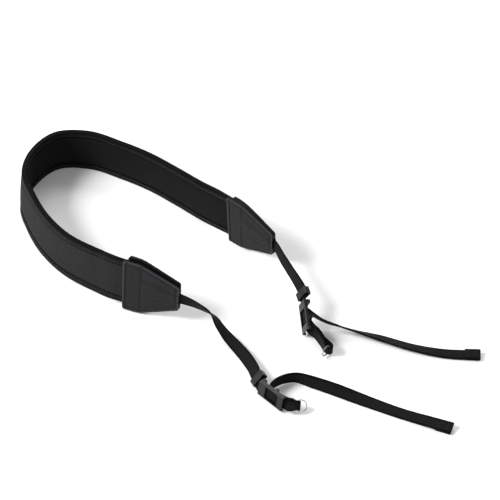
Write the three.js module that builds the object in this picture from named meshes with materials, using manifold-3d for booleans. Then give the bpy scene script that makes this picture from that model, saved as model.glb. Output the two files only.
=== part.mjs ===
// A camera neck strap lying on a surface: a padded band that stands on its long edge in a U,
// a leather tab at each end, and at each tab a webbing strap with a keeper, an adjuster,
// a loop with a split ring and a free tail.
// Millimetres, +Z up. The origin is on the surface, under the middle of the whole strap.
import * as THREE from 'three';
import { mergeVertices } from 'three/addons/utils/BufferGeometryUtils.js';
import Module from 'manifold-3d';

const wasm = await Module();
wasm.setup();

// ---------- driving dimensions ----------
const GAP = 0.3;                  // kept between pieces that touch

const PAD_WIDTH = 40.6;           // across the band, binding included
const PAD_THICK = 5;              // foam, jersey and outer panel together
const PANEL_THICK = 0.8;          // outer textile
const BINDING_THICK = 0.6;
const BINDING_REACH = 5.5;        // how far the tape covers each face
const SWELL_START = 6.2;          // from the long edge, where the pad starts to swell
const SWELL_END = 9.5;            // and where it has its full thickness
const PAD_IN_TAB = 13;            // how far the pad runs into a tab
const PAD_STATION = 9;            // between sections along the band
const PINCH = { run: 14, mouth: 0.76, end: 0.52 };  // shares of the thickness at a tab's mouth and inside

const TAB = {
  length: 49, wide: 46.8, shoulder: 15, narrow: 22, drop: 1.8, thickMouth: 6.8, thickEnd: 4.4, backShort: 3,
  nearRise: 2.6,                  // how far the near tab's back layer stands above its front layer
};
const TAB_STATIONS = [0, 3, 7, 11, 15, 21, 28, 35, 42, 49];  // sections along a tab
const POCKET_STATIONS = [-6, 0, 4, 9, 13.3];                // sections along the hollow for the pad's end

const WEB = { width: 10, thick: 1.3, inTab: 14, station: 4 };
const SLOT = { beyond: 4, station: 2 };                     // the hollow for the webbing's end

const KEEPER = {
  across: 13, thick: 5.4, along: 6.5, holeAcross: 10.8, holeThick: 3.6, round: 1.4, holeRound: 0.7, clear: 0.8,
};
const ADJUSTER = {
  across: 13.2, thick: 6, along: 26, holeAcross: 11, holeThick: 4.8, round: 1.2, holeRound: 0.4,
  window: 10.4, frontStart: 7, frontEnd: 20.5, tailStart: 2.5, tailEnd: 14, loopStart: 16.3, lead: 2, straight: 6,
};
const LAYER = 1;                  // from an adjuster's middle to the middle of each webbing layer
const LOOP = { inside: 4, nose: 2.6, spread: 9, nosePieces: 8, legPieces: 10, neck: 0.7 };
const TAIL = { start: 2.2, straight: -2 };                  // along the adjuster, from its middle
const RING = { radius: 4.6, wire: 0.6, sides: 10, segments: 40, inNose: 1 };
const ROUTE_DIVISIONS = 600;

// ---------- routes ----------
// The band's rows run from the far tab's narrow end round the bend to the near tab's. x and y follow
// its lower edge, z is that edge's height, and lean tips its top to the left of travel, in degrees.
const BAND = [
  { x: 27.8, y: 29.2, z: 5, lean: 0 },
  { x: -7, y: 61.4, z: 5, lean: 0 },
  { x: -32, y: 85, z: 1.6, lean: 0 },
  { x: -54, y: 106, z: 0.1, lean: 0 },
  { x: -78, y: 126, z: 0, lean: 0 },
  { x: -103.5, y: 142, z: 0, lean: 0 },
  { x: -132, y: 156, z: 0.1, lean: 0 },
  { x: -161.5, y: 155.5, z: 0.3, lean: 2 },
  { x: -181, y: 132, z: 0.3, lean: 3.5 },
  { x: -187.5, y: 101.5, z: 0.4, lean: 6 },
  { x: -179, y: 71.2, z: 0.5, lean: 8 },
  { x: -165, y: 42.3, z: 0.6, lean: 8.5 },
  { x: -145, y: 16.7, z: 1.1, lean: 8.5 },
  { x: -120.5, y: -3.5, z: 2.6, lean: 9.5 },
  { x: -98.5, y: -18.9, z: 5.25, lean: 10 },
  { x: -49.4, y: -38.8, z: 5.1, lean: 9 },
];

// A webbing's rows give its middle line and the same lean. Rows at a tab, keeper or adjuster come
// from that piece's place, and twist is what the run has turned through when it gets there.
const NEAR = {
  run: [
    { x: -35, y: -41, z: 20.8, lean: -18 },
    { x: -22.5, y: -46, z: 15, lean: -40 },
    { x: -16, y: -53.5, z: 9, lean: -62 },
    { x: -9.5, y: -61.5, z: 5, lean: -82 },
    { x: -3, y: -70, z: 3.4, lean: -98 },
    { x: 4, y: -81, z: 3.2, lean: -112 },
    { x: 10, y: -94, z: 4.2, lean: -128 },
  ],
  twist: -180,
  keeper: { x: 14.8, y: -109.2, z: 6.25, heading: -66, pitch: 5, lean: 46 },
  adjuster: { x: 25.6, y: -127.3, z: 7, heading: -47, pitch: 0, lean: 12 },
  loop: [
    { x: 36.5, y: -136.6, z: 7, lean: 18 },
    { x: 41, y: -137.6, z: 6.8, lean: 34 },
    { x: 46.3, y: -137.8, z: 6.2, lean: 56 },
  ],
  ring: { turn: 5, tilt: -10 },
  tail: [
    { x: 23, y: -121.3, z: 7, lean: -10 },
    { x: 26.6, y: -115, z: 6.6, lean: -6 },
    { x: 34.5, y: -109, z: 5.8, lean: 0 },
    { x: 44.5, y: -107.2, z: 5.6, lean: 6 },
    { x: 56.5, y: -111.5, z: 5.2, lean: 28 },
    { x: 75, y: -119.3, z: 4.3, lean: 48 },
    { x: 99.5, y: -130, z: 2, lean: 76 },
    { x: 124, y: -141.5, z: 1.4, lean: 85 },
    { x: 147.5, y: -152.5, z: 1.8, lean: 80 },
    { x: 161, y: -158.5, z: 2.4, lean: 74 },
  ],
};
const FAR = {
  run: [
    { x: 35.4, y: 11.5, z: 22, lean: 14 },
    { x: 42, y: -3.3, z: 21.2, lean: 18 },
    { x: 46.8, y: -13.5, z: 20, lean: 24 },
  ],
  twist: 0,
  keeper: { x: 51, y: -25, z: 18, heading: -75, pitch: -12, lean: 30 },
  adjuster: { x: 53.2, y: -45.6, z: 11.7, heading: -83, pitch: -21, lean: 15 },
  loop: [
    { x: 56.6, y: -54.8, z: 8.5, lean: 14 },
    { x: 61.8, y: -61, z: 7.9, lean: 7 },
    { x: 66.5, y: -69.5, z: 6.9, lean: 3 },
    { x: 72, y: -78, z: 6.4, lean: 0 },
  ],
  ring: { turn: -75, tilt: 0 },
  tail: [
    { x: 55, y: -40.4, z: 13, lean: -16 },
    { x: 59, y: -43.4, z: 12.4, lean: -24 },
    { x: 67.5, y: -48, z: 9.8, lean: -36 },
    { x: 80.5, y: -50.5, z: 6, lean: -44 },
    { x: 93.5, y: -54.5, z: 4.4, lean: -50 },
    { x: 112.5, y: -60.5, z: 2.8, lean: -68 },
    { x: 137.5, y: -70.3, z: 2, lean: -75 },
    { x: 162.5, y: -76.5, z: 1.4, lean: -88 },
    { x: 189.5, y: -79, z: 1.8, lean: -98 },
  ],
};

// ---------- materials ----------
const finish = (color, roughness, metalness = 0) => new THREE.MeshStandardMaterial({ color, roughness, metalness });
const JERSEY = finish(0x1c1c1e, 0.9);
const TEXTILE = finish(0x3f3f42, 0.85);
const TAPE = finish(0x1a1a1b, 0.85);
const LEATHER = finish(0x47474c, 0.6);
const WEBBING = finish(0x19191a, 0.8);
const PLASTIC = finish(0x2e2e30, 0.5);
const STEEL = finish(0xc8c8ca, 0.25, 1);

const strap = new THREE.Group();
const add = (name, geometry, material) => {
  const mesh = new THREE.Mesh(geometry, material);
  mesh.name = name;
  strap.add(mesh);
};

// ---------- placing ----------
const radians = THREE.MathUtils.degToRad;

// The width direction and the outward one, to the right of travel, for a travel direction and a lean.
function axes(along, lean) {
  const left = new THREE.Vector3(-along.y, along.x, 0).normalize();
  const width = new THREE.Vector3().crossVectors(along, left)
    .multiplyScalar(Math.cos(radians(lean))).addScaledVector(left, Math.sin(radians(lean)));
  return { along, width, out: new THREE.Vector3().crossVectors(along, width) };
}

class Route {
  constructor(rows) {
    const curve = (points) => new THREE.CatmullRomCurve3(points, false, 'catmullrom', 0.5);
    this.path = curve(rows.map((row) => new THREE.Vector3(row.x, row.y, row.z)));
    this.path.arcLengthDivisions = ROUTE_DIVISIONS;
    this.leans = curve(rows.map((row) => new THREE.Vector3(row.lean, 0, 0)));
    this.length = this.path.getLength();
  }

  at(distance) {
    const t = this.path.getUtoTmapping(0, THREE.MathUtils.clamp(distance, 0, this.length));
    return { point: this.path.getPoint(t), ...axes(this.path.getTangent(t), this.leans.getPoint(t).x) };
  }

  frames(from, to, station) {
    const count = Math.ceil((to - from) / station);
    return Array.from({ length: count + 1 }, (_, i) => this.at(from + (to - from) * i / count));
  }
}

// A rigid piece's own frame: x across, y out, z along.
class Place {
  constructor({ x, y, z, heading, pitch, lean }) {
    const level = Math.cos(radians(pitch));
    const along = new THREE.Vector3(
      level * Math.cos(radians(heading)), level * Math.sin(radians(heading)), Math.sin(radians(pitch)));
    this.lean = lean;
    const { width, out } = axes(along, lean);
    this.matrix = new THREE.Matrix4().makeBasis(width, out, along).setPosition(x, y, z);
  }

  row(along, out = 0, twist = 0) {
    const point = new THREE.Vector3(0, out, along).applyMatrix4(this.matrix);
    return { x: point.x, y: point.y, z: point.z, lean: this.lean + twist };
  }
}

// ---------- solids ----------
const polygon = (points) => new THREE.Shape(points.map(([x, y]) => new THREE.Vector2(x, y)));
const rectangle = (x0, x1, y0, y1) => polygon([[x0, y0], [x1, y0], [x1, y1], [x0, y1]]);

function roundRectangle(Kind, across, thick, round) {
  const x = across / 2;
  const y = thick / 2;
  const shape = new Kind();
  shape.moveTo(x - round, -y);
  shape.quadraticCurveTo(x, -y, x, round - y);
  shape.lineTo(x, y - round);
  shape.quadraticCurveTo(x, y, x - round, y);
  shape.lineTo(round - x, y);
  shape.quadraticCurveTo(-x, y, -x, y - round);
  shape.lineTo(-x, round - y);
  shape.quadraticCurveTo(-x, -y, round - x, -y);
  return shape;
}

function closed(geometry) {
  geometry.deleteAttribute('normal');
  geometry.deleteAttribute('uv');
  return mergeVertices(geometry, 1e-4);
}

// A section carried through a list of frames, its x scaled by each frame's wide and its y by its thick.
function sweep(shape, frames) {
  const steps = frames.length - 1;
  const geometry = new THREE.ExtrudeGeometry(shape, { depth: steps, steps, bevelEnabled: false });
  const position = geometry.attributes.position;
  const corner = new THREE.Vector3();
  for (let i = 0; i < position.count; i++) {
    const { point, width, out, wide = 1, thick = 1 } = frames[Math.round(position.getZ(i))];
    corner.copy(point).addScaledVector(width, position.getX(i) * wide).addScaledVector(out, position.getY(i) * thick);
    position.setXYZ(i, corner.x, corner.y, corner.z);
  }
  return closed(geometry);
}

function manifold(geometry) {
  const merged = closed(geometry.clone());
  return new wasm.Manifold(new wasm.Mesh({
    numProp: 3,
    vertProperties: Float32Array.from(merged.attributes.position.array),
    triVerts: Uint32Array.from(merged.index.array),
  }));
}

function cut(geometry, ...tools) {
  const result = tools.reduce((solid, tool) => solid.subtract(manifold(tool)), manifold(geometry)).getMesh();
  const cutGeometry = new THREE.BufferGeometry();
  cutGeometry.setAttribute('position', new THREE.BufferAttribute(result.vertProperties, 3));
  cutGeometry.setIndex(new THREE.BufferAttribute(result.triVerts, 1));
  return cutGeometry;
}

// ---------- the padded band ----------
const band = new Route(BAND);
const bandFrame = (distance) => {
  const frame = band.at(distance);
  frame.point.addScaledVector(frame.width, PAD_WIDTH / 2);
  return frame;
};

const tabMouths = [TAB.length, band.length - TAB.length];
const padEnds = [tabMouths[0] - PAD_IN_TAB, tabMouths[1] + PAD_IN_TAB];

// The pad thins towards each tab's mouth and on to its own end.
function pinch(distance) {
  const before = Math.min(distance - tabMouths[0], tabMouths[1] - distance);
  return before < 0
    ? THREE.MathUtils.mapLinear(before, 0, -PAD_IN_TAB, PINCH.mouth, PINCH.end)
    : THREE.MathUtils.lerp(PINCH.mouth, 1, THREE.MathUtils.smoothstep(before, 0, PINCH.run));
}

function padFrames() {
  const count = Math.ceil((padEnds[1] - padEnds[0]) / PAD_STATION);
  return Array.from({ length: count + 1 }, (_, i) => {
    const distance = THREE.MathUtils.lerp(padEnds[0], padEnds[1], i / count);
    return { ...bandFrame(distance), thick: pinch(distance) };
  });
}

const padHalf = PAD_THICK / 2;
const edge = PAD_WIDTH / 2 - BINDING_THICK - GAP;
const tapeInside = padHalf - BINDING_THICK;
const swellStart = PAD_WIDTH / 2 - SWELL_START;
const swellEnd = PAD_WIDTH / 2 - SWELL_END;

// A face of the pad from edge to edge: low under the tape, full in the middle.
const face = (low, full) => [
  [-edge, low], [-swellStart, low], [-swellEnd, full], [swellEnd, full], [swellStart, low], [edge, low]];
const layer = (under, over) => polygon([...under, ...over.slice().reverse()]);

const panelTop = face(tapeInside - GAP, padHalf);
const panelUnder = face(tapeInside - GAP - PANEL_THICK, padHalf - PANEL_THICK);
const padTop = face(tapeInside - 2 * GAP - PANEL_THICK, padHalf - GAP - PANEL_THICK);
const padUnder = face(GAP - tapeInside, -padHalf);

add('neck_pad', sweep(layer(padUnder, padTop), padFrames()), JERSEY);
add('outer_panel', sweep(layer(panelUnder, panelTop), padFrames()), TEXTILE);

for (const [name, side] of [['binding_lower', -1], ['binding_upper', 1]]) {
  const outside = side * PAD_WIDTH / 2;
  const inside = outside - side * BINDING_THICK;
  const reach = outside - side * BINDING_REACH;
  const tape = polygon([
    [outside, -padHalf], [reach, -padHalf], [reach, -tapeInside], [inside, -tapeInside],
    [inside, tapeInside], [reach, tapeInside], [reach, padHalf], [outside, padHalf]]);
  add(name, sweep(tape, padFrames()), TAPE);
}

// ---------- the webbing of one side ----------
const webShape = (clear = 0) => rectangle(
  -WEB.width / 2 - clear, WEB.width / 2 + clear, -WEB.thick / 2 - clear, WEB.thick / 2 + clear);

// The two layers of the loop run beside its middle line and meet round the nose.
function loopFrames(middle, from, backTo) {
  const noseAt = middle.length - LOOP.nose;
  const spread = (distance) => THREE.MathUtils.lerp(
    LAYER, LOOP.nose, THREE.MathUtils.smoothstep(distance, noseAt - LOOP.spread, noseAt));
  const neck = (distance) => THREE.MathUtils.lerp(
    1, LOOP.neck, THREE.MathUtils.smoothstep(distance, middle.length - LOOP.spread, middle.length));
  const beside = (distance, side) => {
    const frame = middle.at(distance);
    const point = frame.point.clone().addScaledVector(frame.out, side * spread(distance));
    return { ...frame, point, out: frame.out.clone().multiplyScalar(side), wide: neck(distance) };
  };
  const legs = (start, side) => Array.from(
    { length: LOOP.legPieces }, (_, i) => beside(start + (noseAt - start) * i / LOOP.legPieces, side));
  const nose = Array.from({ length: LOOP.nosePieces + 1 }, (_, i) => {
    const frame = middle.at(noseAt);
    const angle = Math.PI * (0.5 - i / LOOP.nosePieces);
    const out = frame.along.clone().multiplyScalar(Math.cos(angle)).addScaledVector(frame.out, Math.sin(angle));
    return { ...frame, point: frame.point.clone().addScaledVector(out, LOOP.nose), out, wide: neck(middle.length) };
  });
  return { frames: [...legs(from, 1), ...nose, ...legs(backTo, -1).reverse()], nose: middle.at(noseAt) };
}

// Adds all but the tab of one side, and returns the hollow its webbing needs in the tab.
function side(name, rows, exit, inward) {
  const keeper = new Place(rows.keeper);
  const adjuster = new Place(rows.adjuster);

  const keeperEnd = KEEPER.along / 2 + KEEPER.clear;
  const adjusterEnd = ADJUSTER.along / 2;
  const run = new Route([
    inward, exit, ...rows.run,
    keeper.row(-keeperEnd, 0, rows.twist), keeper.row(keeperEnd, 0, rows.twist),
    adjuster.row(-adjusterEnd - ADJUSTER.lead, LAYER, rows.twist),
    adjuster.row(ADJUSTER.straight - adjusterEnd, LAYER, rows.twist), adjuster.row(0, LAYER, rows.twist)]);
  add(`webbing_${name}_run`, sweep(webShape(), run.frames(0, run.length, WEB.station)), WEBBING);

  const middle = new Route([adjuster.row(0), adjuster.row(LOOP.inside), ...rows.loop]);
  const loop = loopFrames(middle, GAP, LOOP.inside);
  add(`webbing_${name}_loop`, sweep(webShape(), loop.frames), WEBBING);

  const turnBack = -2 * adjuster.lean;
  const tail = new Route([
    adjuster.row(TAIL.start, -LAYER, turnBack), adjuster.row(TAIL.straight, -LAYER, turnBack), ...rows.tail]);
  add(`webbing_${name}_tail`, sweep(webShape(), tail.frames(0, tail.length, WEB.station)), WEBBING);

  addKeeper(`keeper_${name}`, keeper);
  addAdjuster(`adjuster_${name}`, adjuster);
  addRing(`split_ring_${name}`, loop.nose, rows.ring);
  const slot = run.frames(0, WEB.inTab + SLOT.beyond, SLOT.station);
  slot[0].point.addScaledVector(slot[0].along, -GAP);
  return sweep(webShape(GAP), slot);
}

// ---------- keeper, adjuster and ring ----------
function addKeeper(name, place) {
  const shape = roundRectangle(THREE.Shape, KEEPER.across, KEEPER.thick, KEEPER.round);
  shape.holes.push(roundRectangle(THREE.Path, KEEPER.holeAcross, KEEPER.holeThick, KEEPER.holeRound));
  const loop = new THREE.ExtrudeGeometry(shape, { depth: KEEPER.along, bevelEnabled: false, curveSegments: 4 });
  loop.translate(0, 0, -KEEPER.along / 2).applyMatrix4(place.matrix);
  add(name, closed(loop), PLASTIC);
}

// A flat sleeve: a large window shows the webbing in front, and behind are two openings,
// one for the tail and one, open to the end, for the loop.
function addAdjuster(name, place) {
  const shape = roundRectangle(THREE.Shape, ADJUSTER.across, ADJUSTER.thick, ADJUSTER.round);
  shape.holes.push(roundRectangle(THREE.Path, ADJUSTER.holeAcross, ADJUSTER.holeThick, ADJUSTER.holeRound));
  const sleeve = new THREE.ExtrudeGeometry(shape, { depth: ADJUSTER.along, bevelEnabled: false, curveSegments: 4 });
  sleeve.translate(0, 0, -ADJUSTER.along / 2);
  const opening = (start, end, out, across) => new THREE.BoxGeometry(across, ADJUSTER.thick, end - start)
    .translate(0, out * ADJUSTER.thick / 2, (start + end - ADJUSTER.along) / 2);
  const frame = cut(sleeve,
    opening(ADJUSTER.frontStart, ADJUSTER.frontEnd, 1, ADJUSTER.window),
    opening(ADJUSTER.tailStart, ADJUSTER.tailEnd, -1, ADJUSTER.across + GAP),
    opening(ADJUSTER.loopStart, ADJUSTER.along + GAP, -1, ADJUSTER.across + GAP));
  add(name, frame.applyMatrix4(place.matrix), PLASTIC);
}

// The ring threads the nose: turn swings it round the nose, tilt tips it across the webbing.
function addRing(name, nose, { turn, tilt }) {
  const away = nose.along.clone().applyAxisAngle(nose.width, radians(turn));
  const across = nose.width.clone().applyAxisAngle(away, radians(tilt));
  const sideways = new THREE.Vector3().crossVectors(away, across);
  const ring = new THREE.TorusGeometry(RING.radius, RING.wire, RING.sides, RING.segments);
  const centre = nose.point.clone().addScaledVector(away, RING.radius - RING.inNose);
  ring.applyMatrix4(new THREE.Matrix4().makeBasis(away, across, sideways).setPosition(centre));
  add(name, closed(ring), STEEL);
}

// ---------- tabs ----------
// A tab sits lower than the band's middle line, nearly flush with its upper edge.
function tabFrame(distance) {
  const frame = bandFrame(distance);
  frame.point.addScaledVector(frame.width, -TAB.drop);
  return frame;
}

function tabFrames(mouth, direction, shorter) {
  const stations = [shorter, ...TAB_STATIONS.filter((station) => station > shorter)];
  const frames = stations.map((station) => {
    const taper = THREE.MathUtils.clamp((station - TAB.shoulder) / (TAB.length - TAB.shoulder), 0, 1);
    const thick = THREE.MathUtils.lerp(TAB.thickMouth, TAB.thickEnd, station / TAB.length);
    return {
      ...tabFrame(mouth + direction * station),
      wide: THREE.MathUtils.lerp(TAB.wide, TAB.narrow, taper) / 2,
      thick: thick / 2,
    };
  });
  return direction > 0 ? frames : frames.reverse();
}

// The pad's end with clearance all round, which hollows out the tab.
function padPocket(mouth, direction) {
  const half = padHalf + GAP / PINCH.end;
  const frames = POCKET_STATIONS.map((station) => {
    const distance = mouth + direction * station;
    return { ...bandFrame(distance), thick: pinch(distance) };
  });
  return sweep(rectangle(-PAD_WIDTH / 2 - GAP, PAD_WIDTH / 2 + GAP, -half, half), direction > 0 ? frames : frames.reverse());
}

function tab(name, mouth, direction, slot, shorterSide, rise) {
  const pocket = padPocket(mouth, direction);
  for (const [layerName, out] of [['outer', 1], ['inner', -1]]) {
    const shorter = out === shorterSide ? TAB.backShort : 0;
    const taller = out === shorterSide ? rise / 2 : 0;
    const frames = tabFrames(mouth, direction, shorter).map((frame) => ({
      ...frame,
      point: frame.point.clone().addScaledVector(frame.out, out * GAP / 2).addScaledVector(frame.width, taller),
      wide: frame.wide + taller,
      thick: frame.thick - GAP / 2,
    }));
    add(`tab_${name}_${layerName}`, cut(sweep(rectangle(-1, 1, Math.min(0, out), Math.max(0, out)), frames), pocket, slot),
      LEATHER);
  }
}

// The webbing starts inside the tab, along the tab's middle line.
function tabExit(distance, direction) {
  const row = (at) => {
    const { point } = tabFrame(at);
    return { x: point.x, y: point.y, z: point.z };
  };
  return [row(distance - direction * WEB.inTab), row(distance)];
}

const [nearInward, nearExit] = tabExit(band.length, 1);
const nearSlot = side('near', NEAR, { ...nearExit, lean: 2 }, { ...nearInward, lean: 10 });
const [farInward, farExit] = tabExit(0, -1);
const farSlot = side('far', FAR, { ...farExit, lean: 4 }, { ...farInward, lean: 0 });
tab('near', tabMouths[1], 1, nearSlot, -1, TAB.nearRise);
tab('far', tabMouths[0], -1, farSlot, 1, 0);

export default strap;
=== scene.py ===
"""A camera neck strap lying on a pale floor: a padded band on its long edge in a U, a leather tab at each
end, and at each tab a webbing strap with a keeper, an adjuster, a loop with a split ring and a free tail.
Blender's own units are metres. The tables and sizes here are millimetres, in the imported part's frame."""
import math

import bmesh
import bpy
import numpy as np
from mathutils import Matrix, Vector


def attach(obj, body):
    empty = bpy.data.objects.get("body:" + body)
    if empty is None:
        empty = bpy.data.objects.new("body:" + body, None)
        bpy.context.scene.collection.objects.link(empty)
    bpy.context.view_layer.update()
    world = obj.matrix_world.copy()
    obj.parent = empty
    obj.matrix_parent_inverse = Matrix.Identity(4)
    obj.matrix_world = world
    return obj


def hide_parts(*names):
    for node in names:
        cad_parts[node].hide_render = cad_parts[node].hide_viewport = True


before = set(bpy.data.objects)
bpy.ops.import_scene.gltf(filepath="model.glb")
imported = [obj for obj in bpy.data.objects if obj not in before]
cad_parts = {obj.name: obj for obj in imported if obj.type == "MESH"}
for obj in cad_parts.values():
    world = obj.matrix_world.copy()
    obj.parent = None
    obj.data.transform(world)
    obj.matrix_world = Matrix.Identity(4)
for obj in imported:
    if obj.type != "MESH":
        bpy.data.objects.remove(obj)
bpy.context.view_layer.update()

MM = 0.001

# ---------- sizes in millimetres: those of the part, and finer ones that only show here ----------
GAP = 0.3
PAD = {"width": 40.6, "half": 2.5, "in_tab": 13.0, "crown": 0.45}
PANEL = {"edge": 18.8, "thick": 0.8}
TAPE = {"thick": 0.6, "reach": 5.5, "seam": 1.3, "corner": 1.3, "inner_corner": 0.8}
PINCH = {"run": 14.0, "mouth": 0.76, "end": 0.52}
TAB = {
    "length": 49.0, "wide": 46.8, "narrow": 22.0, "shoulder": 15.0, "short": 3.0, "leather": 1.3,
    "drop": 1.8, "mouth": 6.8, "end": 4.4, "near_rise": 2.6, "mouth_corner": 2.2, "end_corner": 1.6,
    "wedge": 0.35, "bevel": 0.4, "groove": 0.5,
}
STITCH_INSET = 2.6
MOUTH_SEAMS = (3.4, 15.6)
CENTRE_SEAMS = (17, 45)
WEB = {"width": 10.0, "thick": 1.3, "in_tab": 14.0, "pocket": 0.95, "flat_points": 7}
THREADS = {"tape": (2.7, 0.17), "tab": (2.4, 0.19), "webbing": (1.3, 0.15)}  # pitch and radius
LAYER = 1.0
LOOP = {"inside": 4.0, "nose": 2.6, "spread": 9.0, "neck": 0.7}
TAIL = {"start": 2.2, "straight": -2.0, "hem": 11.0}
KEEPER_HALF = 3.25 + 0.8
ADJUSTER = {"half": 13.0, "lead": 2.0, "straight": 6.0}
RING = {"radius": 4.6, "wire": 0.27, "in_nose": 1.0}

# ---------- routes: x, y, z and lean, in millimetres and degrees ----------
BAND = [
    (27.8, 29.2, 5, 0), (-7, 61.4, 5, 0), (-32, 85, 1.6, 0), (-54, 106, 0.1, 0), (-78, 126, 0, 0),
    (-103.5, 142, 0, 0), (-132, 156, 0.1, 0), (-161.5, 155.5, 0.3, 2), (-181, 132, 0.3, 3.5),
    (-187.5, 101.5, 0.4, 6), (-179, 71.2, 0.5, 8), (-165, 42.3, 0.6, 8.5), (-145, 16.7, 1.1, 8.5),
    (-120.5, -3.5, 2.6, 9.5), (-98.5, -18.9, 5.25, 10), (-49.4, -38.8, 5.1, 9),
]
# The near tail ends about 1.1 mm higher than the part's, which leaves room under it for the folded hem.
NEAR = {
    "run": [(-35, -41, 20.8, -18), (-22.5, -46, 15, -40), (-16, -53.5, 9, -62), (-9.5, -61.5, 5, -82),
            (-3, -70, 3.4, -98), (4, -81, 3.2, -112), (10, -94, 4.2, -128)],
    "twist": -180,
    "keeper": {"at": (14.8, -109.2, 6.25), "heading": -66, "pitch": 5, "lean": 46},
    "adjuster": {"at": (25.6, -127.3, 7), "heading": -47, "pitch": 0, "lean": 12},
    "loop": [(36.5, -136.6, 7, 18), (41, -137.6, 6.8, 34), (46.3, -137.8, 6.2, 56)],
    "ring": {"turn": 5, "tilt": -10},
    "tail": [(23, -121.3, 7, -10), (26.6, -115, 6.6, -6), (34.5, -109, 5.8, 0), (44.5, -107.2, 5.6, 6),
             (56.5, -111.5, 5.2, 28), (75, -119.3, 4.3, 48), (99.5, -130, 2, 76), (124, -141.5, 1.4, 85),
             (147.5, -152.5, 2.95, 80), (161, -158.5, 3.5, 74)],
}
FAR = {
    "run": [(35.4, 11.5, 22, 14), (42, -3.3, 21.2, 18), (46.8, -13.5, 20, 24)],
    "twist": 0,
    "keeper": {"at": (51, -25, 18), "heading": -75, "pitch": -12, "lean": 30},
    "adjuster": {"at": (53.2, -45.6, 11.7), "heading": -83, "pitch": -21, "lean": 15},
    "loop": [(56.6, -54.8, 8.5, 14), (61.8, -61, 7.9, 7), (66.5, -69.5, 6.9, 3), (72, -78, 6.4, 0)],
    "ring": {"turn": -75, "tilt": 0},
    "tail": [(55, -40.4, 13, -16), (59, -43.4, 12.4, -24), (67.5, -48, 9.8, -36), (80.5, -50.5, 6, -44),
             (93.5, -54.5, 4.4, -50), (112.5, -60.5, 2.8, -68), (137.5, -70.3, 2, -75),
             (162.5, -76.5, 1.4, -88), (189.5, -79, 1.8, -98)],
}


# ---------- small maths ----------
def lerp(a, b, t):
    return a + (b - a) * t


def smooth(value, low, high):
    t = min(1.0, max(0.0, (value - low) / (high - low)))
    return t * t * (3 - 2 * t)


def bump(value, middle, width):
    """A soft ridge of height 1 round middle."""
    return math.exp(-((value - middle) / width) ** 2)


def axes(along, lean):
    """The width direction and the outward one, to the right of travel, for a travel direction and a lean."""
    along = Vector(along).normalized()
    left = Vector((-along.y, along.x, 0)).normalized()
    lean = math.radians(lean)
    width = along.cross(left) * math.cos(lean) + left * math.sin(lean)
    return along, width, along.cross(width)


class Frame:
    """A place on a route: its point, its travel, width and outward directions, and its distance."""

    def __init__(self, point, along, width, out, distance=0.0, wide=1.0):
        self.point, self.along, self.width, self.out = Vector(point), along, width, out
        self.distance, self.wide = distance, wide

    def spot(self, across, out):
        return self.point + self.width * (across * self.wide) + self.out * out


class Route:
    """A uniform Catmull-Rom curve through rows of x, y, z and lean, measured by its length."""

    def __init__(self, rows, divisions=1500):
        rows = np.array(rows, float)
        self.rows = np.vstack([2 * rows[0] - rows[1], rows, 2 * rows[-1] - rows[-2]])
        self.spans = len(rows) - 1
        self.t = np.linspace(0, 1, divisions + 1)
        points = np.array([self.value(t)[:3] for t in self.t])
        steps = np.linalg.norm(np.diff(points, axis=0), axis=1)
        self.distance = np.concatenate([[0], np.cumsum(steps)])
        self.length = float(self.distance[-1])

    def value(self, t):
        span = min(int(t * self.spans), self.spans - 1)
        s = t * self.spans - span
        a, b, c, d = self.rows[span:span + 4]
        m, n = (c - a) / 2, (d - b) / 2
        return (b * (2 * s**3 - 3 * s**2 + 1) + m * (s**3 - 2 * s**2 + s)
                + c * (3 * s**2 - 2 * s**3) + n * (s**3 - s**2))

    def at(self, distance):
        t = float(np.interp(distance, self.distance, self.t))
        nudge = 1e-4
        ahead, behind = self.value(min(1, t + nudge)), self.value(max(0, t - nudge))
        here = self.value(t)
        return Frame(here[:3], *axes(ahead[:3] - behind[:3], here[3]), distance)

    def frames(self, start, end, step):
        count = math.ceil((end - start) / step)
        return [self.at(lerp(start, end, i / count)) for i in range(count + 1)]


class Place:
    """A rigid piece's own frame: x across, y out, z along."""

    def __init__(self, at, heading, pitch, lean):
        heading, pitch = math.radians(heading), math.radians(pitch)
        level = math.cos(pitch)
        along = (level * math.cos(heading), level * math.sin(heading), math.sin(pitch))
        self.at, self.lean = Vector(at), lean
        self.along, self.width, self.out = axes(along, lean)

    def spot(self, across, out, along):
        return self.at + self.width * across + self.out * out + self.along * along

    def row(self, along, out=0.0, twist=0.0):
        return (*self.spot(0, out, along), self.lean + twist)


# ---------- meshes ----------
def finish_piece(name, bm, materials, replaces=(), smooth_angle=40):
    """Makes a piece of a bmesh in millimetres, rides it and gives it its materials."""
    bmesh.ops.recalc_face_normals(bm, faces=bm.faces)
    bmesh.ops.scale(bm, vec=(MM, MM, MM), verts=bm.verts)
    mesh = bpy.data.meshes.new(name)
    bm.to_mesh(mesh)
    bm.free()
    piece = bpy.data.objects.new(name, mesh)
    bpy.context.collection.objects.link(piece)
    for material in materials:
        mesh.materials.append(material)
    mesh.shade_smooth()
    mesh.set_sharp_from_angle(angle=math.radians(smooth_angle))
    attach(piece, "root")
    if replaces:
        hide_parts(*replaces)
    return piece


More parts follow.
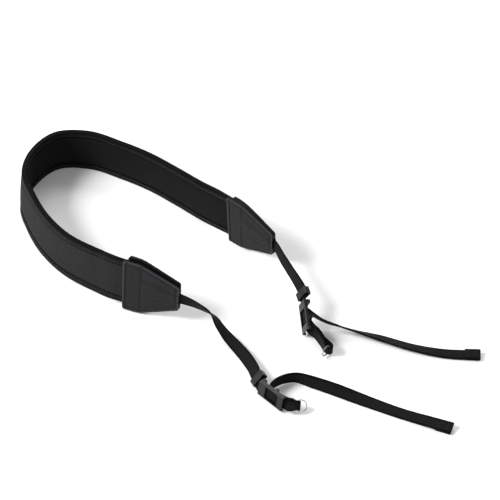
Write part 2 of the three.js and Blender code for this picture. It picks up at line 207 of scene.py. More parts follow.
def loft(bm, rings, us, material=lambda i, j: 0):
    """Skins closed rings of points and caps both ends. The uv map has us along and the middle ring's girth
    round, in millimetres."""
    uv = bm.loops.layers.uv.get("UVMap") or bm.loops.layers.uv.new("UVMap")
    verts = [[bm.verts.new(p) for p in ring] for ring in rings]
    count = len(rings[0])
    girth = [0.0]
    middle = rings[len(rings) // 2]
    for j in range(count):
        girth.append(girth[-1] + (Vector(middle[(j + 1) % count]) - Vector(middle[j])).length)
    for i in range(len(rings) - 1):
        for j in range(count):
            k = (j + 1) % count
            face = bm.faces.new((verts[i][j], verts[i + 1][j], verts[i + 1][k], verts[i][k]))
            face.material_index = material(i, j)
            for loop, u, v in zip(face.loops, (us[i], us[i + 1], us[i + 1], us[i]),
                                  (girth[j], girth[j], girth[j + 1], girth[j + 1])):
                loop[uv].uv = (u, v)
    for ring, u in ((verts[0], us[0]), (verts[-1], us[-1])):
        face = bm.faces.new(ring)
        for loop in face.loops:
            loop[uv].uv = (u, 0)


STITCH_SPAN = (0.14, 0.86)  # the share of each pitch that shows as thread


def stitch(bm, a, b, normal, radius, sides=6):
    """One sewn stitch from a to b: a short thread that dips into the cloth at both ends."""
    along = b - a
    side = along.cross(normal).normalized()
    rings = []
    arch = ((0, -0.9, 0.55), (0.18, 0.05, 0.9), (0.5, 0.45, 1.0), (0.82, 0.05, 0.9), (1, -0.9, 0.55))
    for t, lift, share in arch:
        centre = a + along * t + normal * (radius * lift)
        rings.append([centre + (side * math.cos(angle) + normal * math.sin(angle)) * (radius * share)
                      for angle in (2 * math.pi * k / sides for k in range(sides))])
    loft(bm, rings, [0, 0.5, 1, 1.5, 2])


def stitch_line(bm, surface, start, end, thread):
    """Stitches along surface(distance), which gives a point and its normal."""
    pitch, radius = THREADS[thread]
    count = max(1, round((end - start) / pitch))
    pitch = (end - start) / count
    for i in range(count):
        a, normal = surface(start + pitch * (i + STITCH_SPAN[0]))
        b, _ = surface(start + pitch * (i + STITCH_SPAN[1]))
        stitch(bm, a, b, normal, radius)


# ---------- materials ----------
def node_material(name):
    material = bpy.data.materials.new(name)
    material.use_nodes = True
    tree = material.node_tree
    return material, tree, tree.nodes["Principled BSDF"]


class Nodes:
    """A short way to write a shader: each call adds a node and gives its output."""

    def __init__(self, tree):
        self.tree = tree

    def add(self, kind, inputs=(), output=0, **settings):
        node = self.tree.nodes.new(kind)
        for key, value in settings.items():
            setattr(node, key, value)
        for key, value in dict(inputs).items():
            if isinstance(value, bpy.types.NodeSocket):
                self.tree.links.new(value, node.inputs[key])
            else:
                node.inputs[key].default_value = value
        return node.outputs[output]

    def uv(self):
        return self.add("ShaderNodeUVMap", uv_map="UVMap")

    def place(self):
        return self.add("ShaderNodeTexCoord", output="Object")

    def split(self, vector):
        node = self.tree.nodes.new("ShaderNodeSeparateXYZ")
        self.tree.links.new(vector, node.inputs[0])
        return node.outputs[0], node.outputs[1]

    def math(self, operation, a, b=0.0):
        return self.add("ShaderNodeMath", {0: a, 1: b}, operation=operation)

    def scaled(self, value, factor, offset):
        return self.add("ShaderNodeMath", {0: value, 1: factor, 2: offset}, operation="MULTIPLY_ADD")

    def wave(self, value, period):
        """A sine from 0 to 1 of the given period."""
        return self.scaled(self.math("SINE", self.scaled(value, 2 * math.pi / period, 0.0)), 0.5, 0.5)

    def noise(self, vector, scale, detail):
        return self.add("ShaderNodeTexNoise", {"Vector": vector, "Scale": scale, "Detail": detail})

    def between(self, value, low, high, new_low, new_high):
        return self.add("ShaderNodeMapRange", {"Value": value, "From Min": low, "From Max": high,
                                               "To Min": new_low, "To Max": new_high})

    def mix(self, share, a, b):
        node = self.tree.nodes.new("ShaderNodeMix")
        node.data_type = "RGBA"
        for socket, value in ((node.inputs[0], share), (node.inputs[6], a), (node.inputs[7], b)):
            if isinstance(value, bpy.types.NodeSocket):
                self.tree.links.new(value, socket)
            else:
                socket.default_value = value
        return node.outputs[2]

    def relief(self, height, strength, distance):
        return self.add("ShaderNodeBump", {"Height": height, "Strength": strength, "Distance": distance})


def grey(value, blue=0.0):
    return (value, value, value * (1 + blue), 1)


def panel_material():
    """A dark grey textile with a fine field of raised dots set in a diagonal grid."""
    material, tree, shader = node_material("textured textile")
    n = Nodes(tree)
    u, v = n.split(n.uv())
    first = n.wave(n.math("ADD", u, v), 1.9)
    second = n.wave(n.math("SUBTRACT", u, v), 1.9)
    dots = n.math("MULTIPLY", first, second)
    cloudy = n.noise(n.place(), 28, 3)
    fibre = n.noise(n.place(), 2600, 2)
    dark = n.mix(cloudy, grey(0.004, 0.05), grey(0.007, 0.05))
    light = n.mix(cloudy, grey(0.045, 0.06), grey(0.066, 0.06))
    colour = n.mix(n.between(dots, 0.18, 0.66, 0, 1), dark, light)
    tree.links.new(colour, shader.inputs["Base Color"])
    tree.links.new(n.between(dots, 0, 1, 0.9, 0.62), shader.inputs["Roughness"])
    height = n.math("ADD", dots, n.math("MULTIPLY", fibre, 0.35))
    tree.links.new(n.relief(height, 0.8, 0.00035), shader.inputs["Normal"])
    shader.inputs["Specular IOR Level"].default_value = 0.07
    return material


def jersey_material():
    """Smooth near-black knit: fine columns of loops."""
    material, tree, shader = node_material("black jersey")
    n = Nodes(tree)
    u, v = n.split(n.uv())
    knit = n.math("MULTIPLY", n.wave(u, 0.55), n.wave(v, 0.8))
    cloudy = n.noise(n.place(), 22, 3)
    fibre = n.noise(n.place(), 3000, 2)
    colour = n.mix(n.between(n.math("ADD", knit, n.math("MULTIPLY", cloudy, 0.5)), 0.2, 1.1, 0, 1),
                   grey(0.004, 0.04), grey(0.0095, 0.06))
    tree.links.new(colour, shader.inputs["Base Color"])
    tree.links.new(n.between(cloudy, 0.3, 0.7, 0.72, 0.88), shader.inputs["Roughness"])
    height = n.math("ADD", knit, n.math("MULTIPLY", fibre, 0.3))
    tree.links.new(n.relief(height, 0.5, 0.0002), shader.inputs["Normal"])
    shader.inputs["Specular IOR Level"].default_value = 0.08
    return material


def tape_material(name, low, high):
    """Black grosgrain: ribs across the tape."""
    material, tree, shader = node_material(name)
    n = Nodes(tree)
    u, v = n.split(n.uv())
    ribs = n.wave(u, 0.75)
    threads = n.wave(v, 0.5)
    fibre = n.noise(n.place(), 1900, 2)
    worn = n.noise(n.place(), 45, 4)
    colour = n.mix(n.between(n.math("ADD", ribs, n.math("MULTIPLY", worn, 0.8)), 0.3, 1.6, 0, 1), low, high)
    tree.links.new(colour, shader.inputs["Base Color"])
    tree.links.new(n.between(worn, 0.3, 0.7, 0.6, 0.8), shader.inputs["Roughness"])
    fine = n.math("ADD", n.math("MULTIPLY", threads, 0.25), n.math("MULTIPLY", fibre, 0.3))
    height = n.math("ADD", ribs, fine)
    tree.links.new(n.relief(height, 0.7, 0.00022), shader.inputs["Normal"])
    shader.inputs["Specular IOR Level"].default_value = 0.08
    return material


def leather_material(name, low, high, roughness):
    """Fine-grained leather: small closed cells and a slow change of tone, with painted shade darkening the
    sewn grooves and a painted highlight lightening the rims."""
    material, tree, shader = node_material(name)
    n = Nodes(tree)
    place = n.place()
    cells = n.add("ShaderNodeTexVoronoi", {"Vector": place, "Scale": 1150.0}, feature="DISTANCE_TO_EDGE")
    pores = n.noise(place, 2400, 2)
    cloudy = n.noise(place, 60, 4)
    grain = n.between(cells, 0.0, 0.22, 0, 1)
    tone = n.math("ADD", n.math("MULTIPLY", cloudy, 0.7), n.math("MULTIPLY", grain, 0.3))
    face = n.mix(n.between(tone, 0.25, 0.85, 0, 1), low, high)
    sewn = n.add("ShaderNodeAttribute", output=2, attribute_name="sewn")
    wear_and_rim_highlight = n.add("ShaderNodeAttribute", output=2, attribute_name="wear_and_rim_highlight")
    # Painted highlight: a lighter grey along the tab's rims.
    face = n.mix(n.math("MULTIPLY", wear_and_rim_highlight, 0.8), face, grey(0.052, 0.08))
    # Painted shade: near black in the sewn grooves.
    face = n.mix(n.math("MULTIPLY", sewn, 0.75), face, grey(0.003))
    tree.links.new(face, shader.inputs["Base Color"])
    matt = n.between(cloudy, 0.3, 0.7, roughness - 0.06, roughness + 0.08)
    tree.links.new(matt, shader.inputs["Roughness"])
    height = n.math("ADD", grain, n.math("MULTIPLY", pores, 0.4))
    tree.links.new(n.relief(height, 0.45, 0.00016), shader.inputs["Normal"])
    shader.inputs["Specular IOR Level"].default_value = 0.12
    return material


def webbing_material(name, low, high):
    """Black ribbed webbing: rows of short floats."""
    material, tree, shader = node_material(name)
    n = Nodes(tree)
    u, v = n.split(n.uv())
    row = n.wave(v, 1.15)
    shifted = n.math("ADD", u, n.math("MULTIPLY", n.math("FLOOR", n.math("DIVIDE", v, 1.15)), 0.55))
    floats = n.math("MULTIPLY", row, n.wave(shifted, 1.1))
    fibre = n.noise(n.place(), 2300, 2)
    worn = n.noise(n.place(), 60, 4)
    face = n.mix(n.between(n.math("ADD", floats, n.math("MULTIPLY", worn, 0.5)), 0.1, 1.1, 0, 1), low, high)
    tree.links.new(face, shader.inputs["Base Color"])
    tree.links.new(n.between(worn, 0.3, 0.7, 0.55, 0.75), shader.inputs["Roughness"])
    fine = n.math("ADD", n.math("MULTIPLY", row, 0.5), n.math("MULTIPLY", fibre, 0.3))
    height = n.math("ADD", floats, fine)
    tree.links.new(n.relief(height, 0.8, 0.0003), shader.inputs["Normal"])
    shader.inputs["Specular IOR Level"].default_value = 0.07
    return material


def thread_material():
    """Twisted black thread."""
    material, tree, shader = node_material("black thread")
    n = Nodes(tree)
    twist = n.add("ShaderNodeTexWave", {"Vector": n.place(), "Scale": 900.0, "Distortion": 2.0}, output=1,
                  bands_direction="DIAGONAL")
    tree.links.new(n.mix(twist, grey(0.005), grey(0.016)), shader.inputs["Base Color"])
    tree.links.new(n.relief(twist, 0.5, 0.0001), shader.inputs["Normal"])
    shader.inputs["Roughness"].default_value = 0.5
    return material


def plastic_material():
    """Satin moulded plastic with a fine spark-eroded texture and lightly worn places."""
    material, tree, shader = node_material("satin plastic")
    n = Nodes(tree)
    fine = n.noise(n.place(), 3200, 2)
    wear_and_rim_highlight = n.noise(n.place(), 240, 4)
    tree.links.new(n.mix(n.between(wear_and_rim_highlight, 0.35, 0.7, 0, 1), grey(0.004, 0.04), grey(0.013, 0.04)),
                   shader.inputs["Base Color"])
    tree.links.new(n.between(wear_and_rim_highlight, 0.3, 0.7, 0.34, 0.48), shader.inputs["Roughness"])
    tree.links.new(n.relief(fine, 0.35, 0.00008), shader.inputs["Normal"])
    shader.inputs["Specular IOR Level"].default_value = 0.25
    return material


def steel_material():
    """Nickel-plated wire with fine drawing marks."""
    material, tree, shader = node_material("bright steel")
    n = Nodes(tree)
    marks = n.noise(n.place(), 1800, 3)
    tree.links.new(n.mix(marks, grey(0.3), grey(0.46)), shader.inputs["Base Color"])
    tree.links.new(n.between(marks, 0.3, 0.7, 0.16, 0.3), shader.inputs["Roughness"])
    tree.links.new(n.relief(marks, 0.2, 0.00005), shader.inputs["Normal"])
    shader.inputs["Metallic"].default_value = 1.0
    return material


def floor_material():
    """Matt white paper."""
    material, tree, shader = node_material("pale paper")
    n = Nodes(tree)
    fibre = n.noise(n.place(), 700, 3)
    tree.links.new(n.mix(fibre, grey(0.86), grey(0.9)), shader.inputs["Base Color"])
    tree.links.new(n.relief(fibre, 0.05, 0.0001), shader.inputs["Normal"])
    shader.inputs["Roughness"].default_value = 0.9
    return material


MATERIALS = {
    "textile": panel_material(),
    "jersey": jersey_material(),
    "tape": tape_material("black binding tape", grey(0.004, 0.03), grey(0.013, 0.04)),
    # Painted shade: a darker copy of the tape for its fold and its seam groove.
    "fold": tape_material("tape fold and seam", grey(0.0006), grey(0.0018)),
    "leather": leather_material("dark grey leather", grey(0.0085, 0.1), grey(0.019, 0.12), 0.5),
    "edge": leather_material("painted leather edge", grey(0.0006), grey(0.0015), 0.6),
    "webbing": webbing_material("black webbing", grey(0.002, 0.05), grey(0.012, 0.07)),
    # Painted shade: a darker copy of the webbing for its rounded edges.
    "webbing_edge_shade": webbing_material("webbing edge", grey(0.0004), grey(0.0012)),
    "thread": thread_material(),
    "plastic": plastic_material(),
    "steel": steel_material(),
}

# ---------- camera, light and floor ----------
VIEW = {"target": (8, 48, 0), "distance": 1657.9, "elevation": 42, "lens": 141.85}


def make_camera():
    data = bpy.data.cameras.new("camera")
    data.lens, data.sensor_width = VIEW["lens"], 36
    data.clip_start, data.clip_end = 0.1, 20
    camera = bpy.data.objects.new("camera", data)
    elevation = math.radians(VIEW["elevation"])
    back = Vector((0, -math.cos(elevation), math.sin(elevation)))
    camera.location = (Vector(VIEW["target"]) + back * VIEW["distance"]) * MM
    camera.rotation_euler = (math.pi / 2 - elevation, 0, 0)
    bpy.context.collection.objects.link(camera)
    bpy.context.scene.camera = camera


def make_light(name, at, size, watts):
    data = bpy.data.lights.new(name, "AREA")
    data.size, data.energy = size, watts
    light = bpy.data.objects.new(name, data)
    light.location = at
    light.rotation_euler = (-Vector(at)).to_track_quat("-Z", "Y").to_euler()
    bpy.context.collection.objects.link(light)


def make_studio():
    world = bpy.data.worlds.new("soft white room")
    world.use_nodes = True
    world.node_tree.nodes["Background"].inputs["Color"].default_value = (1, 1, 1, 1)
    world.node_tree.nodes["Background"].inputs["Strength"].default_value = 0.36
    bpy.context.scene.world = world
    make_light("key", (-1.85, -0.2, 1.45), 1.0, 80)
    make_light("fill", (1.2, -1.4, 1.3), 1.4, 10)
    make_light("back", (0.3, 1.6, 1.4), 1.4, 28)
    bpy.context.scene.view_settings.view_transform = "Standard"
    bm = bmesh.new()
    bmesh.ops.create_grid(bm, x_segments=1, y_segments=1, size=4)
    mesh = bpy.data.meshes.new("floor")
    bm.to_mesh(mesh)
    bm.free()
    floor = bpy.data.objects.new("floor", mesh)
    mesh.materials.append(floor_material())
    bpy.context.collection.objects.link(floor)


make_camera()
make_studio()

# ---------- the padded band ----------
band = Route(BAND)
MOUTHS = (TAB["length"], band.length - TAB["length"])
PAD_ENDS = (MOUTHS[0] - PAD["in_tab"], MOUTHS[1] + PAD["in_tab"])
HALF_WIDTH = PAD["width"] / 2


def band_frame(distance):
    """The band's middle line, half its width up from the lower edge."""
    frame_here = band.at(distance)
    frame_here.point += frame_here.width * HALF_WIDTH
    return frame_here


def pinch(distance):
    before = min(distance - MOUTHS[0], MOUTHS[1] - distance)
    if before < 0:
        return lerp(PINCH["mouth"], PINCH["end"], min(1, -before / PAD["in_tab"]))
    return lerp(PINCH["mouth"], 1, smooth(before, 0, PINCH["run"]))


def puff(across, distance, out):
    """How far a face of the pad stands from its middle: pressed down under the tape, crowned between,
    with soft compression waves on the inside of the bend."""
    edge_low = PAD["half"] - TAPE["thick"] - GAP
    rise = smooth(HALF_WIDTH - abs(across), TAPE["reach"] - 0.2, TAPE["reach"] + 3.2)
    crown = PAD["crown"] * max(0.0, 1 - (across / 14) ** 2)
    height = lerp(edge_low, PAD["half"] + crown, rise)
    if out < 0:
        bend = bump(distance, band.length * 0.49, 75)
        wave = math.sin(distance / 2.3 + 0.04 * across) * math.sin(distance / 7.1 + 1)
        height += 0.16 * bend * rise * wave
    else:
        height += 0.06 * rise * math.sin(distance / 11) * math.sin(distance / 4.7 + across / 9)
    return height * pinch(distance)


def wander(distance, seed):
    """Slow sideways waves of a hand-sewn tape's edge."""
    return 0.16 * math.sin(distance / 13 + seed) + 0.1 * math.sin(distance / 5.3 + 2 * seed)


def spread(low, high, count):
    return [lerp(low, high, i / (count - 1)) for i in range(count)]


def make_band():
    frames = [band_frame(d) for d in spread(*PAD_ENDS, 241)]
    us = [f.distance for f in frames]

    # the foam in its jersey: the outward face runs under the panel, the inward face shows
    edge = HALF_WIDTH - TAPE["thick"] - GAP
    inner = spread(-edge, edge, 31)
    rings = []
    for f in frames:
        ring = [f.spot(s, -puff(s, f.distance, -1)) for s in inner]
        under = PANEL["thick"] + GAP
        ring += [f.spot(s, puff(s, f.distance, 1) - under * pinch(f.distance)) for s in reversed(inner)]
        rings.append(ring)
    bm = bmesh.new()
    loft(bm, rings, us)
    pad = finish_piece("pad", bm, [MATERIALS["jersey"]], ["neck_pad"])

    # the textured outer textile
    outer = spread(-PANEL["edge"], PANEL["edge"], 37)
    rings = []
    for f in frames:
        thick = PANEL["thick"] * pinch(f.distance)
        ring = [f.spot(s, puff(s, f.distance, 1)) for s in outer]
        ring += [f.spot(s, puff(s, f.distance, 1) - thick) for s in reversed(outer)]
        rings.append(ring)
    bm = bmesh.new()
    loft(bm, rings, us)
    panel = finish_piece("panel", bm, [MATERIALS["textile"]], ["outer_panel"])


def tape_profile(distance, seed):
    """The folded tape's section: (down from the long edge, height) pairs, outside then inside."""
    half = PAD["half"]
    reach = TAPE["reach"] + wander(distance, seed)
    thick = TAPE["thick"]
    inside = half - thick

    def corner(side, radius, shift, up):
        turn = spread(0, math.pi / 2, 5) if up else spread(math.pi / 2, 0, 5)
        return [(shift + radius * (1 - math.sin(a)), side * (half - shift - radius * (1 - math.cos(a))))
                for a in turn]

    fold = corner(1, TAPE["corner"], 0, True) + corner(-1, TAPE["corner"], 0, False)
    tight = TAPE["inner_corner"]
    fold_inside = corner(-1, tight, thick, True) + corner(1, tight, thick, False)

    def flank(side):
        seam = TAPE["seam"]
        rows = []
        for down in (reach - 0.15, reach - seam * 0.5, reach - seam, reach - seam * 1.6, half + 0.4):
            dip = 0.22 * bump(down, reach - seam, 0.5)
            rows.append((down, side * (half - dip)))
        return rows

    rim = thick * 0.55
    outside = [(reach, half - rim), *flank(1), *fold, *reversed(flank(-1)), (reach, -half + rim)]
    return outside + [(reach - 0.1, -inside), (half + 0.6, -inside), *fold_inside, (half + 0.6, inside),
                      (reach - 0.1, inside)]


# The other strips, round the fold and in the seam groove, take the darker copy of the tape: painted shade.
TAPE_FACES = (3, 4, 5, 15, 16, 17)  # strips of the section between the fold and the seam


def make_tapes():
    frames = [band_frame(d) for d in spread(*PAD_ENDS, 301)]
    for name, side, seed in (("lower", -1, 0.6), ("upper", 1, 2.9)):
        rings = [[f.spot(side * (HALF_WIDTH - down), height * pinch(f.distance))
                  for down, height in tape_profile(f.distance, seed)] for f in frames]
        bm = bmesh.new()
        loft(bm, rings, [f.distance for f in frames], material=lambda i, j: int(j not in TAPE_FACES))
        tape = finish_piece(f"tape_{name}", bm, [MATERIALS["tape"], MATERIALS["fold"]],
                            [f"binding_{name}"])

        bm = bmesh.new()
        for out in (1, -1):
            def surface(distance, out=out):
                f = band_frame(distance)
                down = TAPE["reach"] + wander(distance, seed) - TAPE["seam"]
                height = (PAD["half"] - 0.2) * pinch(distance)
                return f.spot(side * (HALF_WIDTH - down), out * height), f.out * out
            stitch_line(bm, surface, MOUTHS[0] + 1, MOUTHS[1] - 1, "tape")
        finish_piece(f"tape_{name}_stitches", bm, [MATERIALS["thread"]])


make_band()
make_tapes()


# ---------- leather tabs ----------
def tab_half_width(station):
    """Half the tab's width, with rounded corners at the mouth and the end and a soft shoulder."""
    taper = (station - TAB["shoulder"]) / (TAB["length"] - TAB["shoulder"])
    soft = 0.5 * (taper + math.sqrt(taper * taper + 0.006))
    half = lerp(TAB["wide"], TAB["narrow"], min(1, soft)) / 2
    for corner, radius in ((station, TAB["mouth_corner"]), (TAB["length"] - station, TAB["end_corner"])):
        if corner < radius:
            half -= radius - math.sqrt(max(0.0, radius**2 - (radius - corner) ** 2))
    return half


def tab_frame(distance):
    """The tab's middle line, which runs below the band's."""
    frame_here = band_frame(distance)
    frame_here.point -= frame_here.width * TAB["drop"]
    return frame_here


def tab_wedge(station, across):
    """1 over the webbing sewn inside the tab, 0 beside it."""
    half = lerp(10.5, 5.2, smooth(station, 16, 42))
    return smooth(station, 14, 18) * (1 - smooth(abs(across), half - 0.9, half + 0.9))


def tab_hollow(station, across):
    """Half the space between a tab's two layers: the pad's end and the webbing lie in it."""
    pad_here = PAD["half"] * pinch(MOUTHS[0] - station) + 0.1
    off_pad = abs(across - TAB["drop"]) - HALF_WIDTH
    pad_share = (1 - smooth(station, 12.6, 15.2)) * (1 - smooth(off_pad, 0.1, 0.9))
    return max(pad_here * pad_share, WEB["pocket"] * tab_wedge(station, across))


def outline_gap(station, across, start):
    """How far a place is from the tab's cut edge."""
    slope = (TAB["wide"] - TAB["narrow"]) / 2 / (TAB["length"] - TAB["shoulder"])
    return min(station - start, TAB["length"] - station,
               (tab_half_width(station) - abs(across)) / math.hypot(1, slope))


def centre_seam(station):
    """How far the two seams beside the sewn-in webbing are from the tab's middle."""
    return lerp(8.6, 3.6, (station - CENTRE_SEAMS[0]) / (CENTRE_SEAMS[1] - CENTRE_SEAMS[0]))


def tab_seams(station, across, start):
    """1 along a tab's sewn grooves, falling to 0 beside them."""
    share = bump(outline_gap(station, across, start), STITCH_INSET, 0.6)
    for seam in MOUTH_SEAMS:
        share = max(share, bump(station, seam, 0.6))
    if station > MOUTH_SEAMS[1]:
        share = max(share, bump(abs(across), centre_seam(station), 0.55))
    return share


def tab_surface(station, across, start, placed):
    """Height of a tab's face above its middle plane, with rounded edges, relief and sunk seams.
    across is measured in the layer's own outline and placed is from the tab's middle line."""
    gap = outline_gap(station, across, start)
    solid = lerp(TAB["mouth"], TAB["end"], station / TAB["length"]) / 2
    height = max(solid, GAP / 2 + tab_hollow(station, placed) + TAB["leather"])
    height += TAB["wedge"] * tab_wedge(station, across)
    height -= TAB["bevel"] * (1 - smooth(gap, 0, 0.8)) ** 2
    height -= TAB["groove"] * tab_seams(station, across, start)
    height += 0.05 * math.sin(station * 0.9 + across * 0.4) * math.sin(across * 0.7 + 1)
    return height


def make_tab(name, mouth, direction, longer, rise):
    def spot(station, across, height, out):
        f = tab_frame(mouth + direction * station)
        return f.spot(across, out * height)

    for layer, out in (("outer", 1), ("inner", -1)):
        start = 0.0 if out == longer else TAB["short"]
        taller = 0.0 if out == longer else rise / 2

        def rim_half_width(station, start=start):
            return tab_half_width(station - (start if station < TAB["mouth_corner"] + start else 0))

        def placed(station, across, taller=taller):
            return across + taller * (1 + across / tab_half_width(station))

        stations = [start, start + 0.12, start + 0.4, start + 0.8]
        stations += spread(start + 1.3, TAB["length"] - 1.3, 62)
        stations += [TAB["length"] - 0.8, TAB["length"] - 0.4, TAB["length"] - 0.12, TAB["length"]]
        shares = [-1, -0.993, -0.975, -0.95] + spread(-0.92, 0.92, 61) + [0.95, 0.975, 0.993, 1]
        rings = []
        for station in stations:
            half = rim_half_width(station)
            over = [half * s + taller * (1 + s) for s in shares]
            top = [spot(station, a, tab_surface(station, half * s, start, a), out)
                   for s, a in zip(shares, over)]
            under = [spot(station, a, GAP / 2 + tab_hollow(station, a), out) for a in reversed(over)]
            rings.append(top + under)
        bm = bmesh.new()
        count = len(shares)
        last = len(stations) - 2

        def material(i, j, count=count, last=last):
            on_top = j < count - 1
            near_rim = i < 1 or i >= last or j < 1 or j == count - 2
            return 1 if not on_top or near_rim else 0

        loft(bm, rings, stations, material=material)
        for face in bm.faces:
            if len(face.verts) > 4:
                face.material_index = 1
        piece = finish_piece(f"leather_{name}_{layer}", bm, [MATERIALS["leather"], MATERIALS["edge"]],
                             [f"tab_{name}_{layer}"])
        # Per point shares for the leather's painted shade in the sewn grooves and its painted highlight near
        # the rims.
        sewn, wear_and_rim_highlight = [], []
        for station in stations:
            over = [rim_half_width(station) * s for s in shares]
            sewn += [tab_seams(station, a, start) for a in over] + [0.0] * len(over)
            wear_and_rim_highlight += [bump(outline_gap(station, a, start), 0.7, 0.5) for a in over] + [0.0] * len(over)
        for key, values in (("sewn", sewn), ("wear_and_rim_highlight", wear_and_rim_highlight)):
            piece.data.attributes.new(key, "FLOAT", "POINT").data.foreach_set("value", values)

        bm = bmesh.new()

        def face_point(station, across, out=out, start=start, placed=placed):
            at = placed(station, across)
            return spot(station, at, tab_surface(station, across, start, at) + 0.03, out)

        def surface_along(path, out=out):
            def surface(distance):
                station, across = path(distance)
                f = tab_frame(mouth + direction * station)
                return face_point(station, across), f.out * out
            return surface

        for seam in MOUTH_SEAMS:
            if seam > start + 1:
                reach = tab_half_width(seam) - STITCH_INSET
                stitch_line(bm, surface_along(lambda d, seam=seam: (seam, d)), -reach, reach, "tab")
        end = TAB["length"] - STITCH_INSET
        reach = tab_half_width(end) - STITCH_INSET
        stitch_line(bm, surface_along(lambda d: (end, d)), -reach, reach, "tab")
        inset = STITCH_INSET * 1.06
        for side in (-1, 1):
            stitch_line(bm, surface_along(lambda d, side=side: (d, side * (tab_half_width(d) - inset))),
                        start + STITCH_INSET + 0.8, end, "tab")
            stitch_line(bm, surface_along(lambda d, side=side: (d, side * centre_seam(d))),
                        *CENTRE_SEAMS, "tab")
        finish_piece(f"leather_{name}_{layer}_stitches", bm, [MATERIALS["thread"]])


make_tab("near", MOUTHS[1], 1, longer=1, rise=TAB["near_rise"])
make_tab("far", MOUTHS[0], -1, longer=-1, rise=0.0)


# ---------- webbing ----------
def web_section():
    """The webbing's section: flat, with a slightly fuller round edge on each side."""
    half, flat = WEB["width"] / 2, WEB["thick"] / 2
    side = [(half - 0.75, flat * 0.94), (half - 0.35, flat * 1.08), (half - 0.08, flat * 0.7), (half, 0),
            (half - 0.08, -flat * 0.7), (half - 0.35, -flat * 1.08), (half - 0.75, -flat * 0.94)]
    across = spread(-half + 1.5, half - 1.5, WEB["flat_points"])
    top = [(s, flat) for s in across]
    bottom = [(s, -flat) for s in reversed(across)]
    return top + side + bottom + [(-s, -h) for s, h in side]


def loop_frames(middle, start, back_to):
    """The two layers of a loop beside its middle line, and the bend round its nose."""
    nose_at = middle.length - LOOP["nose"]

    def beside(distance, side):
        f = middle.at(distance)
        offset = lerp(LAYER, LOOP["nose"], smooth(distance, nose_at - LOOP["spread"], nose_at))
        f.point += f.out * (side * offset)
        f.out = f.out * side
        f.wide = lerp(1, LOOP["neck"], smooth(distance, middle.length - LOOP["spread"], middle.length))
        return f

    there = [beside(d, 1) for d in spread(start, nose_at, 26)]
    back = [beside(d, -1) for d in spread(nose_at, back_to, 26)]
    nose = middle.at(nose_at)
    bend = []
    for angle in spread(math.pi / 2, -math.pi / 2, 15)[1:-1]:
        out = nose.along * math.cos(angle) + nose.out * math.sin(angle)
        bend.append(Frame(nose.point + out * LOOP["nose"], nose.along, nose.width, out, wide=there[-1].wide))
    return there + bend + back, nose


def hem_frames(tail):
    """The tail's end folded under and sewn: a tight turn and a short layer back."""
    end = tail.at(tail.length)
    drop = WEB["thick"] / 2 + 0.05
    centre = end.point - end.out * drop
    turn = []
    for angle in spread(math.pi / 2, -math.pi / 2, 7)[1:]:
        out = end.along * math.cos(angle) + end.out * math.sin(angle)
        turn.append(Frame(centre + out * drop, end.along, end.width, out))
    under = []
    for distance in spread(tail.length - 1, tail.length - TAIL["hem"], 9):
        f = tail.at(distance)
        under.append(Frame(f.point - f.out * (2 * drop), f.along, f.width, f.out * -1))
    return turn + under


def measured(frames):
    """Gives each frame its distance along the strip."""
    total = 0.0
    for before, here in zip([frames[0], *frames[:-1]], frames):
        total += (here.point - before.point).length
        here.distance = total
    return frames


def web_frames(rows, exit_rows):
    keeper, adjuster = Place(**rows["keeper"]), Place(**rows["adjuster"])
    twist = rows["twist"]
    run = Route([*exit_rows, *rows["run"],
                 keeper.row(-KEEPER_HALF, 0, twist), keeper.row(KEEPER_HALF, 0, twist),
                 adjuster.row(-ADJUSTER["half"] - ADJUSTER["lead"], LAYER, twist),
                 adjuster.row(ADJUSTER["straight"] - ADJUSTER["half"], LAYER, twist),
                 adjuster.row(0, LAYER, twist)])
    there = run.frames(0, run.length, 1.6)
    if twist:
        for f in there:
            f.width, f.out = -f.width, -f.out
    middle = Route([adjuster.row(0), adjuster.row(LOOP["inside"]), *rows["loop"]])
    loop, nose = loop_frames(middle, GAP, LOOP["inside"])
    back = -2 * adjuster.lean
    tail = Route([adjuster.row(TAIL["start"], -LAYER, back), adjuster.row(TAIL["straight"], -LAYER, back),
                  *rows["tail"]])
    return measured(there + loop + tail.frames(0, tail.length, 1.6) + hem_frames(tail)), tail, nose


def make_webbing(name, rows, exit_rows):
    frames, tail, nose = web_frames(rows, exit_rows)
    rings = []
    for f in frames:
        fray = 1 + 0.008 * math.sin(f.distance * 1.7) + 0.006 * math.sin(f.distance * 0.6)
        rings.append([f.spot(s * fray, h) for s, h in web_section()])
    bm = bmesh.new()
    flat = WEB["flat_points"]
    # The faces round the webbing's edges take the darker copy: painted shade.
    loft(bm, rings, [f.distance for f in frames], material=lambda i, j: int(j % (2 * flat) >= flat - 1))
    nodes = [f"webbing_{name}_{part}" for part in ("run", "loop", "tail")]
    materials = [MATERIALS["webbing"], MATERIALS["webbing_edge_shade"]]
    strip = finish_piece(f"strap_{name}", bm, materials, nodes)

    bm = bmesh.new()
    for distance, reach in ((tail.length - 2.5, 3.2), (tail.length - TAIL["hem"] + 2, 3.2)):
        for out in (1, -1):
            def surface(across, distance=distance, out=out):
                f = tail.at(distance)
                lift = WEB["thick"] / 2 if out > 0 else WEB["thick"] * 1.5 + 0.12
                return f.spot(across, out * lift), f.out * out
            stitch_line(bm, surface, -reach, reach, "webbing")
    finish_piece(f"strap_{name}_stitches", bm, [MATERIALS["thread"]])
    return nose


def exit_rows(distance, direction, leans):
    inside, outside = tab_frame(distance - direction * WEB["in_tab"]), tab_frame(distance)
    return [(*inside.point, leans[0]), (*outside.point, leans[1])]


noses = {
    "near": make_webbing("near", NEAR, exit_rows(band.length, 1, (10, 2))),
    "far": make_webbing("far", FAR, exit_rows(0, -1, (0, 4))),
}


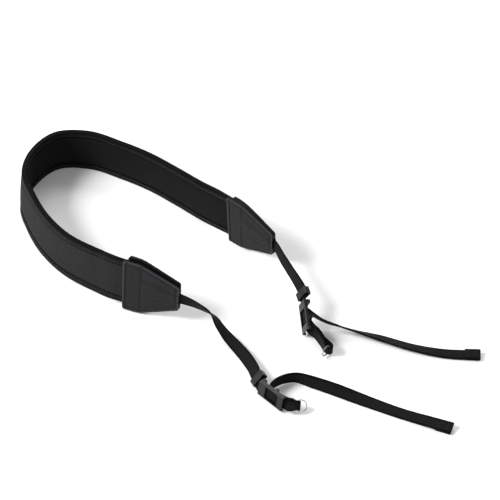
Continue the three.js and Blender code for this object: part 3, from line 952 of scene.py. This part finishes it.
# ---------- plastic and steel ----------
def make_moulded(node, bevel):
    """The node's own shape with moulded round edges."""
    bm = bmesh.new()
    bm.from_mesh(bpy.data.objects[node].data)
    bmesh.ops.remove_doubles(bm, verts=bm.verts, dist=1e-6)
    bmesh.ops.dissolve_limit(bm, angle_limit=math.radians(1), verts=bm.verts, edges=bm.edges)
    bmesh.ops.scale(bm, vec=(1 / MM,) * 3, verts=bm.verts)
    piece = finish_piece(f"{node}_moulded", bm, [MATERIALS["plastic"]], [node], smooth_angle=30)
    rounding = piece.modifiers.new("round edges", "BEVEL")
    rounding.width, rounding.segments = bevel * MM, 3
    rounding.limit_method, rounding.angle_limit = "ANGLE", math.radians(35)
    rounding.harden_normals = False
    return piece


def make_grip(name, place):
    """Ribs in the adjuster's front end bars."""
    height, radius = 2.56, 0.34
    bm = bmesh.new()
    for along in (-11.6, -10.2, -8.8, 9.4, 10.8):
        rings = []
        for across in spread(-4.2, 4.2, 9):
            share = 1 - 0.5 * smooth(abs(across), 3.6, 4.2)
            rings.append([place.spot(across, height + radius * share * math.sin(a),
                                     along + radius * share * math.cos(a))
                          for a in (2 * math.pi * k / 10 for k in range(10))])
        loft(bm, rings, spread(0, 8, 9))
    finish_piece(f"adjuster_{name}_grip", bm, [MATERIALS["plastic"]])


def make_ring(name, nose, turn, tilt):
    """A split ring: two turns of wire side by side, crossing once between their ends."""
    away = Matrix.Rotation(math.radians(turn), 3, nose.width) @ nose.along
    across = Matrix.Rotation(math.radians(tilt), 3, away) @ nose.width
    side = away.cross(across)
    centre = nose.point + away * (RING["radius"] - RING["in_nose"])
    wire, sides = RING["wire"], 10
    rings = []
    angles = spread(math.radians(28), math.radians(692), 140)
    for angle in angles:
        shift = lerp(-wire, wire, smooth(math.degrees(angle), 336, 384))
        spoke = away * math.cos(angle + 0.6) + across * math.sin(angle + 0.6)
        middle = centre + spoke * RING["radius"] + side * shift
        rings.append([middle + (spoke * math.cos(a) * 1.25 + side * math.sin(a)) * wire
                      for a in (2 * math.pi * k / sides for k in range(sides))])
    bm = bmesh.new()
    loft(bm, rings, [RING["radius"] * a for a in angles])
    finish_piece(f"ring_{name}", bm, [MATERIALS["steel"]], [f"split_ring_{name}"])


for side_name, side_rows in (("near", NEAR), ("far", FAR)):
    make_moulded(f"keeper_{side_name}", 0.45)
    make_moulded(f"adjuster_{side_name}", 0.3)
    make_grip(side_name, Place(**side_rows["adjuster"]))
    make_ring(side_name, noses[side_name], **side_rows["ring"])
